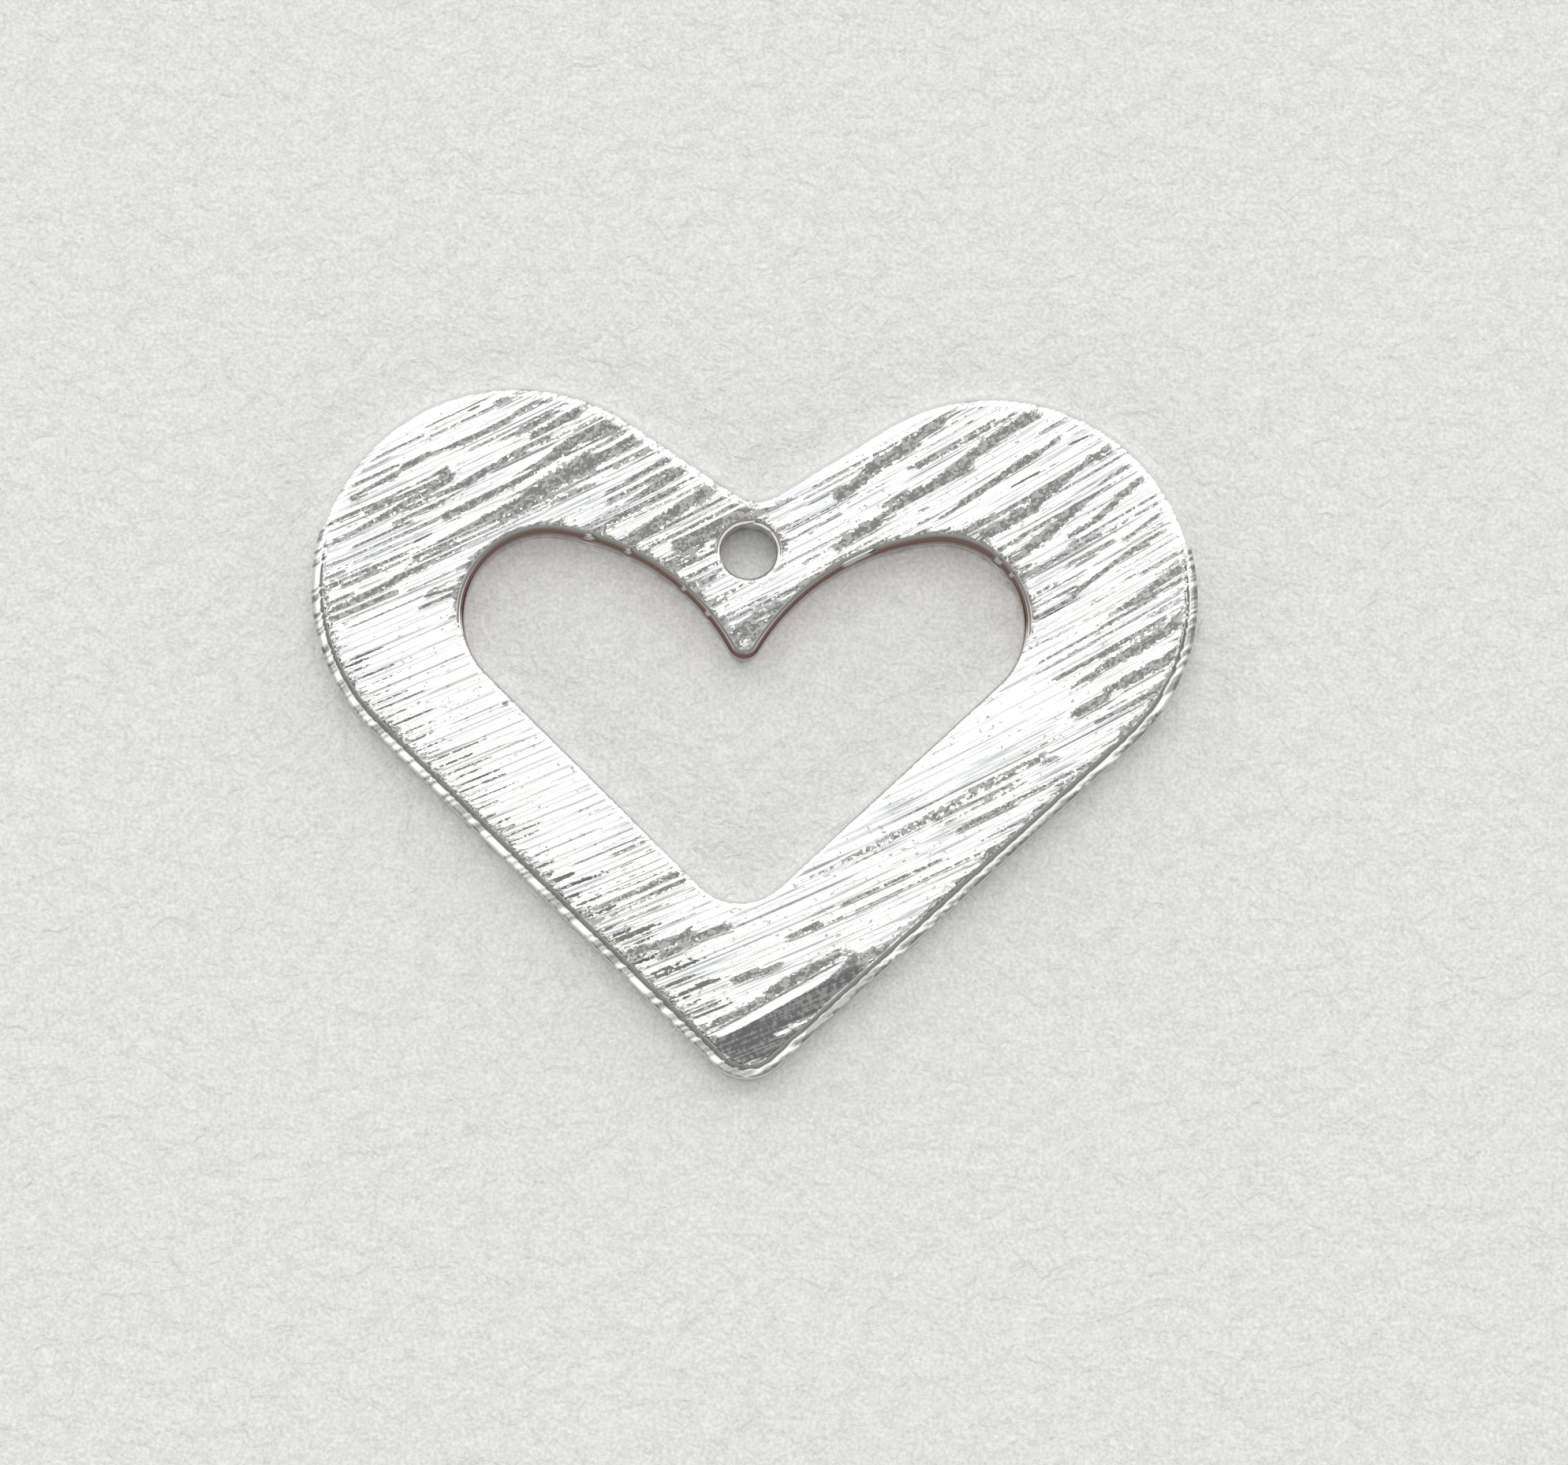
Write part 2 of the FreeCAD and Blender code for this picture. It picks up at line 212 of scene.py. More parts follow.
# Lands that the belt missed, smooth, as the photograph shows them, where the plating paints a grey
# reflection of the dim spot: its pixels where each one starts and ends, its width in millimetres and
# how unbroken it is
DULL, SOLID, BLOTCHY, BROKEN, SPARSE = 1.4, 1.04, 0.98, 0.82, 0.60
LANDS = [
    # Left lobe
    (446, 640, 500, 610, 0.15, BLOTCHY),
    (510, 600, 545, 581, 0.15, BLOTCHY),
    (545, 582, 574, 571, 0.09, BROKEN),
    (572, 572, 600, 560, 0.13, SOLID),
    (600, 560, 640, 540, 0.13, BLOTCHY),
    (640, 540, 684, 508, 0.13, BLOTCHY),
    (655, 556, 700, 530, 0.13, BLOTCHY),
    (674, 560, 728, 532, 0.19, BLOTCHY),
    (553, 700, 612, 668, 0.17, BLOTCHY),
    (612, 668, 665, 640, 0.23, BLOTCHY),
    (665, 640, 700, 618, 0.36, SOLID),
    (700, 618, 748, 590, 0.40, SOLID),
    (563, 663, 600, 645, 0.19, BLOTCHY),
    (600, 645, 650, 618, 0.17, BLOTCHY),
    (650, 618, 700, 585, 0.21, BLOTCHY),
    (700, 585, 745, 552, 0.28, BLOTCHY),
    (748, 560, 790, 540, 0.19, BLOTCHY),
    (500, 672, 522, 657, 0.15, SOLID),
    (523, 656, 555, 644, 0.19, BLOTCHY),
    (555, 643, 580, 628, 0.21, BLOTCHY),
    (580, 626, 612, 606, 0.19, BLOTCHY),
    (612, 604, 650, 582, 0.13, BROKEN),
    (650, 580, 695, 560, 0.13, BLOTCHY),
    (415, 702, 480, 665, 0.13, BROKEN),
    (480, 665, 520, 641, 0.13, BLOTCHY),
    (530, 637, 572, 614, 0.13, BLOTCHY),
    (498, 642, 565, 600, 0.11, BROKEN),
    (525, 714, 560, 697, 0.15, BLOTCHY),
    (425, 782, 460, 766, 0.19, BROKEN),
    (455, 768, 500, 745, 0.17, BROKEN),
    (500, 743, 540, 722, 0.19, BLOTCHY),
    (540, 720, 580, 700, 0.19, BLOTCHY),
    (583, 700, 640, 672, 0.09, SOLID),
    (600, 692, 690, 650, 0.06, SOLID),
    (610, 706, 668, 680, 0.06, BLOTCHY),
    (540, 764, 592, 748, 0.09, BLOTCHY),
    (748, 590, 800, 557, 0.36, SOLID),
    (745, 552, 774, 533, 0.28, BLOTCHY),
    (703, 542, 748, 517, 0.17, BLOTCHY),
    # From the left lobe to the notch and the cusp
    (784, 656, 866, 600, 0.20, SOLID),
    (749, 680, 784, 656, 0.29, BLOTCHY),
    (796, 616, 846, 589, 0.12, SOLID),
    (801, 690, 908, 621, 0.25, BLOTCHY),
    (857, 698, 955, 643, 0.32, BLOTCHY),
    (890, 747, 906, 735, 0.14, SOLID),
    (933, 814, 987, 775, 0.35, BROKEN),
    # Right lobe
    (1060, 637, 1100, 610, 0.23, BLOTCHY),
    (1100, 604, 1165, 562, 0.28, BLOTCHY),
    (1165, 560, 1196, 538, 0.21, BROKEN),
    (1120, 648, 1150, 628, 0.11, BROKEN),
    (1165, 598, 1180, 588, 0.11, BLOTCHY),
    (1060, 702, 1100, 674, 0.21, BLOTCHY),
    (1100, 677, 1145, 646, 0.21, BLOTCHY),
    (1145, 645, 1200, 612, 0.26, SOLID),
    (1200, 611, 1230, 589, 0.28, SOLID),
    (1230, 587, 1280, 551, 0.28, BLOTCHY),
    (1280, 551, 1319, 527, 0.28, BLOTCHY),
    (1190, 666, 1220, 645, 0.09, SOLID),
    (1220, 644, 1268, 612, 0.15, SOLID),
    (1272, 608, 1317, 580, 0.17, BLOTCHY),
    (1320, 578, 1345, 560, 0.11, BROKEN),
    (1220, 683, 1262, 661, 0.17, BLOTCHY),
    (1245, 686, 1288, 665, 0.23, BLOTCHY),
    (1285, 662, 1313, 650, 0.28, SOLID),
    (1312, 644, 1352, 613, 0.23, BLOTCHY),
    (1352, 612, 1374, 596, 0.15, BROKEN),
    (1380, 590, 1407, 572, 0.17, BROKEN),
    (1278, 716, 1300, 706, 0.19, BLOTCHY),
    (1300, 704, 1338, 677, 0.21, SOLID),
    (1338, 674, 1370, 646, 0.21, BLOTCHY),
    (1370, 645, 1392, 628, 0.17, BLOTCHY),
    (1395, 624, 1432, 598, 0.17, BLOTCHY),
    (1357, 688, 1390, 665, 0.15, BROKEN),
    (1390, 666, 1417, 641, 0.15, BLOTCHY),
    (1417, 638, 1448, 614, 0.15, BLOTCHY),
    (1306, 777, 1360, 750, 0.13, BLOTCHY),
    (1360, 760, 1435, 704, 0.11, SOLID),
    (1435, 703, 1475, 680, 0.09, SOLID),
    (1430, 688, 1472, 658, 0.09, BLOTCHY),
    (1355, 722, 1410, 692, 0.09, BLOTCHY),
    (1310, 792, 1360, 765, 0.09, BLOTCHY),
    (1385, 770, 1440, 735, 0.09, BROKEN),
    (1415, 782, 1445, 765, 0.15, BROKEN),
    (1442, 768, 1470, 746, 0.19, BLOTCHY),
    (1470, 745, 1506, 719, 0.28, BLOTCHY),
    (1395, 803, 1420, 786, 0.15, BROKEN),
    (1400, 851, 1440, 830, 0.19, BLOTCHY),
    (1440, 830, 1478, 806, 0.21, BLOTCHY),
    (1480, 804, 1511, 776, 0.23, BLOTCHY),
    (1360, 880, 1402, 850, 0.17, BROKEN),
    (1402, 883, 1422, 873, 0.17, BLOTCHY),
    (1420, 874, 1485, 839, 0.21, SOLID),
    (1485, 838, 1508, 818, 0.21, BLOTCHY),
    (1360, 913, 1402, 890, 0.19, BLOTCHY),
    (1420, 935, 1462, 905, 0.19, BROKEN),
    # Over the tip
    (840, 1216, 882, 1197, 0.13, BLOTCHY),
    (887, 1190, 924, 1179, 0.17, BLOTCHY),
    (858, 1196, 876, 1182, 0.11, BLOTCHY),
    (930, 1246, 962, 1234, 0.19, BROKEN),
    (964, 1237, 988, 1226, 0.13, BLOTCHY),
    (973, 1263, 1007, 1244, 0.23, BLOTCHY),
    (998, 1248, 1022, 1235, 0.21, SOLID),
    (1026, 1233, 1044, 1222, 0.19, SOLID),
    (1044, 1220, 1062, 1211, 0.17, BLOTCHY),
    (946, 1281, 980, 1264, 0.15, BROKEN),
    (905, 1298, 942, 1283, 0.13, SOLID),
    (884, 1311, 922, 1299, 0.15, SOLID),
    (868, 1287, 905, 1272, 0.11, BLOTCHY),
    (1000, 1192, 1035, 1175, 0.11, BLOTCHY),
    (902, 1349, 1094, 1249, 1.15, DULL),
    (1030, 1275, 1110, 1215, 0.38, BLOTCHY),
    (1075, 1238, 1140, 1200, 0.34, BROKEN),
    # Left arm and right arm
    (738, 1174, 866, 1114, 0.30, BROKEN),
    (784, 1215, 922, 1178, 0.20, BROKEN),
    (1231, 1012, 1323, 964, 0.18, SPARSE),
    (1121, 1072, 1231, 1012, 0.18, SPARSE),
    (1017, 1126, 1121, 1072, 0.18, SPARSE),
]

# How the photograph shows the plate: the middle of the heart in pixels, pixels per millimetre, and
# how far the view is turned and foreshortened
PHOTO_MIDDLE = (954, 932)
PHOTO_SCALE = 47
TURNED_RIGHT = 0.0177
TURNED_UP = 0.021
FORESHORTENED = 0.985


def seen_at(right, down):
    """A pixel of the photograph as a place along and across the brush lines."""
    right = (right - PHOTO_MIDDLE[0]) / PHOTO_SCALE
    up = (PHOTO_MIDDLE[1] - down) / PHOTO_SCALE
    return brush_place(right - TURNED_RIGHT * up, (up + TURNED_UP * right) / FORESHORTENED)


def as_seen(marks):
    """Marks given by the photograph's pixels, turned into starts and ends along and across."""
    placed = []
    for right, down, far_right, far_down, width, strength in marks:
        (start, first), (end, last) = seen_at(right, down), seen_at(far_right, far_down)
        placed.append((start, end, first, last, width, strength))
    return placed


# A stroke of the belt: the middle of its length, its place across, its length and width, how strong
# it is, how far it drifts across on its way and how far its deepest line lies off its middle
LENGTH, WIDTH, STRENGTH, LEAN = 2, 3, 4, 6


def as_strokes(marks, lean=0.4):
    return [
        (
            (start + end) / 2, (first + last) / 2, end - start, width, strength,
            (last - first) / (end - start), lean,
        )
        for start, end, first, last, width, strength in marks
    ]


random = np.random.default_rng(11)
STROKES_ALONG = (-12.5, 13.5)
STROKES_ACROSS = (-8.6, 11.8)
LEAST_LENGTH = 0.3
MOST_LEAN = 0.76


def random_strokes(count, length, width, strength, drift=0.006, shape=4.0):
    return np.column_stack([
        random.uniform(*STROKES_ALONG, count),
        random.uniform(*STROKES_ACROSS, count),
        random.gamma(shape, length / shape, count) + LEAST_LENGTH,
        random.uniform(*width, count),
        random.uniform(*strength, count),
        random.normal(0, drift, count),
        MOST_LEAN * random.beta(2, 2, count),
    ])


def by_slope(strokes):
    """Turns the strength of grooves, given as the slope of their floor, into their depth."""
    strokes[:, STRENGTH] *= strokes[:, WIDTH] * (1 + strokes[:, LEAN]) / 2
    return strokes


def laid(along, across, strokes, section):
    """Lays strokes over the points, where the strongest counts. The section is a stroke's cross
    section: off is 1 at its sides and reach is 1 at its ends."""
    order = np.argsort(across)
    along, across = along[order], across[order]
    strongest = np.zeros(len(along))
    for middle, level, length, width, strength, drift, lean in strokes:
        spread = width + abs(drift) * length / 2
        first, last = np.searchsorted(across, (level - spread, level + spread))
        run = along[first:last] - middle
        off = (across[first:last] - level - drift * run) / (width / 2)
        value = strength * section(off, np.abs(run) / (length / 2), length, lean)
        strongest[first:last] = np.maximum(strongest[first:last], value)
    result = np.empty(len(order))
    result[order] = strongest
    return result


END_POWER = 6


def groove_section(off, reach, length, lean):
    """A floor that falls towards the top of the heart, a steeper far wall and short upturned ends."""
    return np.minimum((off + 1) / (1 + lean), (1 - off) / (1 - lean)) - reach ** END_POWER


SOFT_SIDE = 1.5
LAND_REACH = 1.04
BLUNT_END = 0.125
SCRATCH_TAPER = 2.5


def soft_sides(off):
    return np.clip(SOFT_SIDE - np.abs(off), 0, 1)


def land_section(off, reach, length, lean):
    return soft_sides(off) * np.clip((LAND_REACH - reach) * length / 2 / BLUNT_END, 0, 1)


def scratch_section(off, reach, length, lean):
    return soft_sides(off) * np.clip((1 - reach) * SCRATCH_TAPER, 0, 1)


# Where the belt bit evenly and left no ridges: middle and radius of each patch
CLEAN = [
    (-8.6, 1.1, 2.1), (-6.9, -1.0, 1.9), (-5.0, -2.7, 1.5), (-1.1, -5.3, 0.8), (0.8, -4.6, 1.0),
    (2.7, -2.7, 1.0), (4.6, -0.8, 1.0), (6.5, 0.9, 1.1), (8.2, 1.7, 1.2), (-8.7, 7.7, 1.3),
]
CLEAN_REACH = 1.2
PATCH_FADE = 0.4


def in_patches(x, y, patches, reach):
    """1 in round patches, falling to 0 at their radius times the reach."""
    share = np.zeros(len(x))
    for middle_x, middle_y, radius in patches:
        apart = np.hypot(x - middle_x, y - middle_y) / radius
        share = np.maximum(share, np.clip((reach - apart) / PATCH_FADE, 0, 1))
    return share


def clean_share(x, y):
    return in_patches(x, y, CLEAN, CLEAN_REACH)


grooves = by_slope(random_strokes(
    count=1700, length=5.5, width=(0.10, 0.26), strength=(0.09, 0.14), drift=0.0,
))
bold_grooves = as_strokes(as_seen([
    (893, 1322, 1073, 1223, 0.27, 0.034),
    (748, 584, 868, 513, 0.14, 0.016),
    # White beads by the tip
    (1000, 1304, 1026, 1296, 0.20, 0.020),
    (985, 1314, 1001, 1306, 0.19, 0.020),
    (1024, 1295, 1034, 1291, 0.14, 0.014),
    (1022, 1314, 1032, 1309, 0.14, 0.014),
    (918, 1343, 928, 1339, 0.12, 0.012),
    (940, 1353, 960, 1344, 0.12, 0.012),
]), lean=0.75)

# Thin lands between the grooves, fewer of them towards the tip
THIN_LANDS = 650
FEWER_BETWEEN = (-9, 3)
CLEAN_OF_LANDS, CLEAN_OF_SCRATCHES = 0.5, 0.7
thin_lands = random_strokes(
    count=THIN_LANDS, length=2.4, width=(0.04, 0.13), strength=(0.45, 1.0), shape=2.0,
)
thin_x, thin_y = face_place(thin_lands[:, 0], thin_lands[:, 1])
thinned = random.uniform(*FEWER_BETWEEN, THIN_LANDS) < thin_y
thin_lands = thin_lands[(clean_share(thin_x, thin_y) < CLEAN_OF_LANDS) & thinned]

# Along the lower left side dark ridges between the grooves start at the edge and run in a little way,
# and near the tip they are broader
RIDGES = 60
RIDGE_SPACING = (0.12, 0.34)
RIDGE_LENGTH = (0.8, 2.6)
RIDGE_WIDTH = (0.04, 0.09)
RIDGE_STRENGTH = (0.7, 1.2)
LOWEST_RIDGE = -7.6
BROAD_BELOW, BROADER = -1.0, 1.7
FACES_LEFT, FACES_DOWN = -0.3, 0.2
lower_left = outer_points[(outer_facing[:, 0] < FACES_LEFT) & (outer_facing[:, 1] < FACES_DOWN)]
edge_along, edge_across = brush_place(lower_left[:, 0], lower_left[:, 1])
edge_order = np.argsort(edge_across)
ridge_levels = np.cumsum(random.uniform(*RIDGE_SPACING, RIDGES)) + LOWEST_RIDGE
ridge_starts = np.interp(ridge_levels, edge_across[edge_order], edge_along[edge_order])
ridge_lengths = random.uniform(*RIDGE_LENGTH, RIDGES)
ridges = np.column_stack([
    ridge_starts,
    ridge_levels,
    2 * ridge_lengths,
    random.uniform(*RIDGE_WIDTH, RIDGES) * np.where(ridge_levels < BROAD_BELOW, BROADER, 1.0),
    random.uniform(*RIDGE_STRENGTH, RIDGES),
    np.zeros(RIDGES),
    np.zeros(RIDGES),
])
scratches = random_strokes(
    count=260, length=1.5, width=(0.02, 0.045), strength=(0.45, 0.95), shape=2.0,
)
scratch_x, scratch_y = face_place(scratches[:, 0], scratches[:, 1])
scratches = scratches[clean_share(scratch_x, scratch_y) < CLEAN_OF_SCRATCHES]

# One side of each land has a dark line along a part of it
BORDER_OVERRUN = 0.2
BORDER_WIDTH = (0.02, 0.04)
BORDER_STRENGTH = (0.5, 0.9)
lands = as_seen(LANDS)
borders = []
for start, end, first, last, width, _ in lands:
    beside = random.choice([-1, 1]) * width / 2
    from_share, to_share = np.sort(random.uniform(0, 1, 2))
    borders.append((
        start + from_share * (end - start),
        start + to_share * (end - start) + BORDER_OVERRUN,
        first + from_share * (last - first) + beside,
        first + to_share * (last - first) + beside,
        random.uniform(*BORDER_WIDTH),
        random.uniform(*BORDER_STRENGTH),
    ))

# Dark scratches seen in the photograph, by its pixels
DARK_SCRATCHES = [
    (522, 697, 552, 681),
    (405, 760, 435, 747),
    (590, 528, 607, 520),
    (1277, 627, 1322, 602),
    (1350, 572, 1386, 556),
    (577, 776, 592, 772),
    (840, 1254, 882, 1237),
    (880, 1252, 905, 1243),
]
DARK_WIDTH, DARK_STRENGTH = 0.06, 1.3
dark_scratches = as_seen([(*ends, DARK_WIDTH, DARK_STRENGTH) for ends in DARK_SCRATCHES])
scratches = np.concatenate([scratches, ridges, as_strokes(borders), as_strokes(dark_scratches)])

# The lands overlap end to end, so that a row of them reads as one
LAND_OVERLAP = 0.25
LAND_BROADER = 1.3
land_strokes = np.array(as_strokes(lands))
land_strokes[:, LENGTH] += LAND_OVERLAP
land_strokes[:, WIDTH] *= LAND_BROADER

# Single hairs of the belt that cut bright lines through the lands, but not through the dull tip
cuts = by_slope(random_strokes(
    count=350, length=3.5, width=(0.045, 0.08), strength=(0.10, 0.15), drift=0.003,
))
CUT_FROM, CUT_TO = 0.2, 1.1
CUT_CLEARS = 0.002
BOLD_CLEARS = 0.004

# How steeply the grooves end at a land, and how much of it they may still reach into
LAND_STEEP, LAND_MARGIN = 5, 0.3


def brushed(along, across):
    """Depth below the flat face, how much of each point is smooth land, and the dark scratches."""
    wide = laid(along, across, land_strokes, land_section)
    thin = laid(along, across, thin_lands, land_section)
    cut = laid(along, across, cuts, groove_section) * (wide > CUT_FROM) * (wide < CUT_TO)
    bold = laid(along, across, bold_grooves, groove_section)
    beside_bold = 1 - np.clip(bold / BOLD_CLEARS, 0, 1)
    land = np.maximum(wide, thin)
    between_lands = 1 - np.clip(land * LAND_STEEP - LAND_MARGIN, 0, 1)
    depth = laid(along, across, grooves, groove_section) * between_lands
    depth = np.maximum(np.maximum(depth, cut), bold)
    land = land * (1 - np.clip(cut / CUT_CLEARS, 0, 1)) * beside_bold
    return depth, land, laid(along, across, scratches, scratch_section) * beside_bold


# The mesh. Rings of points step round the rolled edge, over a small lip and down the wall; below the
# roll they have half as many points. A wall is 0 on the face and 1 where it stands upright.
ROLL_TILTS = [16, 19, 23, 28, 34, 40, 45, 50]
CREASE = 0.008
LIP_TILTS = [58, 75, 90]
LIP = 0.02
LIP_DROP = 1.6
BACK_TILTS = [0, 45, 90]

# How much of the painted brown reflection of the dim side shows in the walls of the heart, the window
# and the ring hole
BROWN_REFLECTION_SHARES = [0.0, 1.0, 0.3]
vertices, walls, brown_reflection_share, facings, faces = [], [], [], [], []
flat_face_loops, flat_back_loops = [], []


def add_ring(points, facing, inset, height, wall, loop_brown_share):
    start = sum(len(ring) for ring in vertices)
    vertices.append(np.column_stack([points - facing * inset, np.full(len(points), height)]))
    walls.append(np.full(len(points), wall))
    brown_reflection_share.append(np.full(len(points), loop_brown_share))
    facings.append(facing)
    return np.arange(start, start + len(points))


def join_rings(upper, lower):
    after = np.roll(lower, -1)
    if len(upper) == len(lower):
        faces.extend(zip(upper, lower, after, np.roll(upper, -1)))
        return
    here, between, beyond = upper[::2], upper[1::2], np.roll(upper[::2], -1)
    faces.extend(zip(here, lower, between))
    faces.extend(zip(between, lower, after))
    faces.extend(zip(between, after, beyond))


for (points, facing, edge_radius), loop_brown_share in zip(loops, BROWN_REFLECTION_SHARES):
    rings = [add_ring(points, facing, edge_radius, thickness, 0.0, loop_brown_share)]
    slopes = np.tan(np.radians(ROLL_TILTS))
    bend = (edge_radius - LIP - CREASE) / (slopes[-1] - slopes[0])
    for tilt, slope in zip(ROLL_TILTS, slopes):
        inset = edge_radius - CREASE - bend * (slope - slopes[0])
        height = thickness - CREASE * slopes[0] / 2 - bend * (slope ** 2 - slopes[0] ** 2) / 2
        rings.append(add_ring(points, facing, inset, height, tilt / 90, loop_brown_share))
    points, facing = points[::2], facing[::2]
    for tilt in LIP_TILTS:
        turned = math.radians(90 - tilt)
        inset = LIP * (1 - math.cos(turned))
        lip_height = height - LIP * (LIP_DROP - math.sin(turned))
        rings.append(add_ring(points, facing, inset, lip_height, tilt / 90, loop_brown_share))
    for tilt in np.radians(BACK_TILTS):
        inset = back_edge_radius * (1 - math.cos(tilt))
        height = back_edge_radius * (1 - math.sin(tilt))
        rings.append(add_ring(points, facing, inset, height, 1.0, loop_brown_share))
    for upper, lower in zip(rings, rings[1:]):
        join_rings(upper, lower)
    flat_face_loops.append(rings[0])
    flat_back_loops.append(rings[-1])

edge_count = sum(len(ring) for ring in vertices)
AT_ONCE = 4000


def metal_depth(x, y, rim_points, rim_facing):
    """How far each point lies from the nearest rim into the metal, and the way that rim faces."""
    places = np.column_stack([x, y]).astype(np.float32)
    rim = rim_points.astype(np.float32)
    inside = np.empty(len(places))
    nearest = np.empty(len(places), dtype=int)
    for start in range(0, len(places), AT_ONCE):
        part = places[start:start + AT_ONCE]
        apart = (part ** 2).sum(1)[:, None] - 2 * part @ rim.T + (rim ** 2).sum(1)[None, :]
        closest = apart.argmin(1)
        away = rim_points[closest] - part
        inside[start:start + AT_ONCE] = (away * rim_facing[closest]).sum(1)
        nearest[start:start + AT_ONCE] = closest
    return inside, rim_facing[nearest]


# The face is filled with a lattice laid along the brush lines, so that each groove has clean sides
LATTICE_ALONG = 0.15
LATTICE_ACROSS = 0.0235
LATTICE_SHAKE = 0.03
LATTICE_MARGIN = 0.012
LATTICE_ROWS = (-8.6, 11.9)
LATTICE_STATIONS = (-13.0, 14.0)
STRETCH = LATTICE_ALONG / LATTICE_ACROSS
flat_rim = np.concatenate([points - facing * radius for points, facing, radius in loops])
rim_facing = np.concatenate([facing for _, facing, _ in loops])
rows = np.arange(*LATTICE_ROWS, LATTICE_ACROSS)
stations = np.arange(*LATTICE_STATIONS, LATTICE_ALONG)
lattice_along, lattice_across = np.meshgrid(stations, rows)
lattice_along[1::2] += LATTICE_ALONG / 2
shake = random.uniform(-LATTICE_SHAKE, LATTICE_SHAKE, lattice_along.size)
lattice_x, lattice_y = face_place(lattice_along.ravel() + shake, lattice_across.ravel())
lattice_inside, lattice_facing = metal_depth(lattice_x, lattice_y, flat_rim, rim_facing)
kept = lattice_inside > LATTICE_MARGIN
lattice = np.column_stack([lattice_x, lattice_y, np.full(lattice_x.size, thickness)])[kept]
lattice_ids = np.arange(edge_count, edge_count + len(lattice))

vertices = np.concatenate([*vertices, lattice])
walls = np.concatenate([*walls, np.zeros(len(lattice))])
brown_reflection_share = np.concatenate([*brown_reflection_share, np.zeros(len(lattice))])
facings = np.concatenate([*facings, np.zeros((len(lattice), 2))])
along, across = brush_place(vertices[:, 0], vertices[:, 1])
TRIANGLES_INSIDE = 1
MERGE_WITHIN = 1e-7


def fill(ids, flat_points, rim_loops, rim_points, rim_facing):
    """Triangles, as vertex numbers, that fill the metal between the loops."""
    edges, start = [], 0
    for rim_loop in rim_loops:
        size = len(rim_loop)
        edges += [(start + i, start + (i + 1) % size) for i in range(size)]
        start += size
    corners = [Vector(point) for point in flat_points]
    made = delaunay_2d_cdt(corners, edges, [], TRIANGLES_INSIDE, MERGE_WITHIN, False)
    if len(made[0]) != len(flat_points):
        raise RuntimeError("points were merged: %d of %d" % (len(made[0]), len(flat_points)))
    triangles = ids[np.array(made[2])]
    middles = vertices[triangles, :2].mean(1)
    in_metal = metal_depth(middles[:, 0], middles[:, 1], rim_points, rim_facing)[0] > 0
    return [tuple(triangle) for triangle in triangles[in_metal].tolist()]


face_ids = np.concatenate([*flat_face_loops, lattice_ids])
stretched = np.column_stack([along[face_ids] / STRETCH, across[face_ids]])
faces += fill(face_ids, stretched, flat_face_loops, flat_rim, rim_facing)
back_ids = np.concatenate(flat_back_loops)
back_rim = np.concatenate([points[::2] - facing[::2] * back_edge_radius for points, facing, _ in loops])
back_facing = np.concatenate([facing[::2] for _, facing, _ in loops])
back_faces = fill(back_ids, vertices[back_ids, :2], flat_back_loops, back_rim, back_facing)
faces += [face[::-1] for face in back_faces]

# Carving. Tumbling wore the grooves shallow next to the edges that face the point of the heart, and
# left a ragged smooth border there; over the other edges the belt rode on, down the rolled rim.
WORN_AWAY = 0.45
WORN_BAND = 0.25
SPIKES = 500
SPIKE_PITCH = 0.047
FIRST_SPIKE = -9
SPIKE_LEAST, SPIKE_MORE = 0.04, 0.30
SPIKE_REACH = 1.4
SPIKE_STRENGTH = 0.9
SPIKE_STEEP, SPIKE_MARGIN = 2, 0.5
RIDDEN_SIDEWAYS, RIDDEN_TURN = 0.3, 2.5

# How far over the roll the belt cut, how much further where it rode on, and where its marks show
CUT_WALL, RIDDEN_CUT_WALL = 0.22, 0.15
FLAT_WALL, RIDDEN_WALL = 0.05, 0.5
WELL_RIDDEN = 0.6
depth, smooth, scratch = brushed(along, across)
upward = np.concatenate([facings[:edge_count, 1], lattice_facing[kept, 1]])
ridden = np.clip(RIDDEN_SIDEWAYS + RIDDEN_TURN * upward, 0, 1)
inside = np.concatenate([np.zeros(edge_count), lattice_inside[kept]])
worn = np.maximum(1 - WORN_AWAY + WORN_AWAY * np.clip(inside / WORN_BAND, 0, 1), ridden)
spike_lengths = SPIKE_LEAST + SPIKE_MORE * random.beta(1, 2.5, SPIKES)
spike = np.round((across - FIRST_SPIKE) / SPIKE_PITCH).astype(int)
in_spike = np.clip(SPIKE_REACH - inside / spike_lengths[spike], 0, 1)
border = SPIKE_STRENGTH * in_spike * (1 - ridden)
smooth = np.maximum(smooth, border)
depth *= 1 - np.clip(border * SPIKE_STEEP - SPIKE_MARGIN, 0, 1)
cut_level = thickness - depth * worn
carved = (walls < CUT_WALL + RIDDEN_CUT_WALL * ridden) & (vertices[:, 2] >= cut_level)
vertices[carved, 2] = cut_level[carved]
marked = (walls < FLAT_WALL) | ((ridden > WELL_RIDDEN) & (walls < RIDDEN_WALL))
land = np.where(marked, smooth, 1.0)
scratch *= marked

